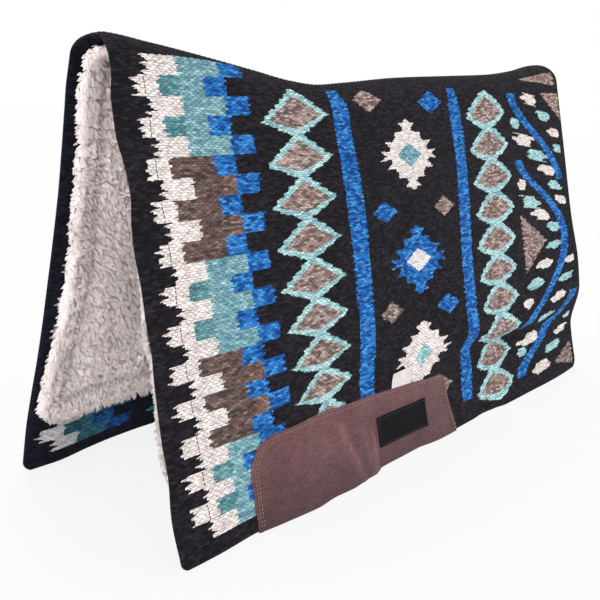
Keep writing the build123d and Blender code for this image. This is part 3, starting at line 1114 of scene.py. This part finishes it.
def label():
    s, h = flat_patch(LABEL_S, LABEL_H, 1.0)
    edge = np.minimum(np.minimum(s - LABEL_S[0], LABEL_S[1] - s),
                      np.minimum(h - LABEL_H[0], LABEL_H[1] - h))
    folded = 0.35 * ease(edge, 0, 0.8) - 0.25 * bump(edge, LABEL_SEAM, 0.7)
    bow = 0.25 * np.sin(s / 12) * np.sin(h / 9)
    outer = -(LABEL_LIFT + LABEL_THICK - 0.35 + folded + bow)
    return slab_object("label_patch", LEFT, s, h, outer, -LABEL_LIFT, LABEL_CLOTH)


def size_tag():
    s, h = flat_patch(TAG_S, TAG_H, 1.2)
    rise = (h - TAG_H[0]) / (TAG_H[1] - TAG_H[0])
    slant = 1.5 * rise * (s - TAG_S[0]) / (TAG_S[1] - TAG_S[0])
    curl = 0.9 + 3.2 * rise**2 + 0.6 * np.sin(s / 6) * rise
    outer = -curl - TAG_THICK
    return slab_object("size_tag_loop", LEFT, s + 2.5 * rise, h + slant, outer, -curl, TAG_CLOTH)


# ---- putting the pad together ------------------------------------------------------------
BODIES = {"left": "left_side", "right": "right_side"}
TUFTS = 21500


def over_the_spine(piece):
    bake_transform(piece)


def dress(word, side):
    outer = woven_face(word + "_cover_face", side, False)
    inner = woven_face(word + "_cover_back", side, True)
    core = felt(word + "_felt", side)
    backing = fleece_backing(word + "_fleece_body", side)
    piles = [pile(f"{word}_fleece_pile_{part}", side, 11 * part + side, TUFTS) for part in (1, 2)]
    for piece in (outer, inner, core, backing, *piles):
        over_the_spine(piece)
    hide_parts(word + "_woven_cover")
    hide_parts(word + "_felt_core")
    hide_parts(word + "_fleece_lining")

    leather = wear_leather(word + "_leather", side)
    surface = LEATHER_LIFT + LEATHER_THICK + 0.25
    up, _, down = leather_seam(INNER_SEAM)
    seams = [stitches(f"{word}_leather_seam_{part}", side, route, surface, TAN_THREAD)
             for part, route in (("outer", sum(leather_seam(OUTER_SEAM), [])), ("front", up),
                                 ("rear", down))]
    gaps = slits(word + "_cover_slits", side)
    for piece in (leather, *seams, gaps):
        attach(piece, BODIES[word])
    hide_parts(word + "_wear_leather")
    cut = ((LEATHER_REAR - LEATHER_FRONT) * MM, float(leather_top(200.0)) * MM)
    return leather


def add_label():
    patch = label()
    (s0, s1), (h0, h1) = LABEL_S, LABEL_H
    near, far = (s0 + LABEL_SEAM, h0 + LABEL_SEAM), (s1 - LABEL_SEAM, h1 - LABEL_SEAM)
    route = [near, (far[0], near[1]), far, (near[0], far[1]), near]
    seam = stitches("label_seam", LEFT, route, LABEL_LIFT + LABEL_THICK - 0.2, BLACK_THREAD,
                    pitch=2.6, length=2.0, radius=0.35)
    tag = size_tag()
    for piece, slot in ((patch, "label_cloth"), (seam, "label_cloth"), (tag, "tag_cloth")):
        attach(piece, "left_side")
    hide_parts("label")
    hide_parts("size_tag")


leathers = {word: dress(word, side) for word, side in SIDES.items()}
add_label()


# ---- floor, light and camera -------------------------------------------------------------
FLOOR_REACH = 6.0
CAMERA_WHITE = 0.82             # the camera sees the floor mostly white, under a faint shadow
WORLD_LIGHT = 0.62
# Name, direction, strength and angle in degrees of each sun.
SUNS = (("key", (0.74, 0.62, -0.4), 1.75, 30), ("back", (-0.6, -0.7, -0.6), 0.8, 60))
CAMERA_PLACE = (-0.9438, -0.7033, 0.4627)
YAW, PITCH, ROLL = 0.8571, 0.2580, 0.0513
LENS = 54.42


def studio():
    mesh = bpy.data.meshes.new("floor")
    corners = [(x * FLOOR_REACH, y * FLOOR_REACH, 0) for x, y in ((-1, -1), (1, -1), (1, 1), (-1, 1))]
    mesh.from_pydata(corners, [], [(0, 1, 2, 3)])
    n = material_nodes("floor_white", Base_Color=(0.97, 0.97, 0.97, 1), Roughness=1.0,
                       Specular_IOR_Level=0.0)
    rays = n.add("ShaderNodeLightPath").outputs
    both = n.add("ShaderNodeMixShader")
    n.join(n.math("MULTIPLY", rays["Is Camera Ray"], CAMERA_WHITE), both.inputs[0])
    n.join(n.shader.outputs[0], both.inputs[1])
    n.join(n.add("ShaderNodeEmission").outputs[0], both.inputs[2])
    n.join(both.outputs[0], n.tree.nodes["Material Output"].inputs[0])
    mesh.materials.append(n.owner)
    floor = add_object("floor", mesh)

    world = bpy.context.scene.world = bpy.data.worlds.new("studio")
    n = Nodes(world, "Background", Color=(1, 1, 1, 1))
    rays = n.add("ShaderNodeLightPath").outputs
    seen = n.math("MAXIMUM", rays["Is Camera Ray"], rays["Is Glossy Ray"])
    n.join(n.spread(seen, WORLD_LIGHT, 1.0), n.shader.inputs["Strength"])

    for name, aim, strength, angle in SUNS:
        light = bpy.data.lights.new(name, "SUN")
        light.energy = strength
        light.angle = math.radians(angle)
        lamp = add_object(name, light)
        lamp.rotation_mode = "QUATERNION"
        lamp.rotation_quaternion = Vector(aim).to_track_quat("-Z", "Y")


def camera():
    """A camera in front of the pad's left, looking slightly down, turned a little on its axis."""
    ahead = Vector((math.sin(YAW) * math.cos(PITCH), math.cos(YAW) * math.cos(PITCH),
                    -math.sin(PITCH)))
    across = Vector((math.cos(YAW), -math.sin(YAW), 0))
    above = across.cross(ahead)
    turned_across = across * math.cos(ROLL) + above * math.sin(ROLL)
    turned_above = above * math.cos(ROLL) - across * math.sin(ROLL)
    data = bpy.data.cameras.new("camera")
    data.lens = LENS
    data.sensor_width = 36.0
    made = add_object("camera", data)
    made.matrix_world = Matrix.Translation(CAMERA_PLACE) @ Matrix(
        (turned_across, turned_above, -ahead)).transposed().to_4x4()
    bpy.context.scene.camera = made


studio()
camera()
bpy.context.scene.view_settings.view_transform = "Standard"
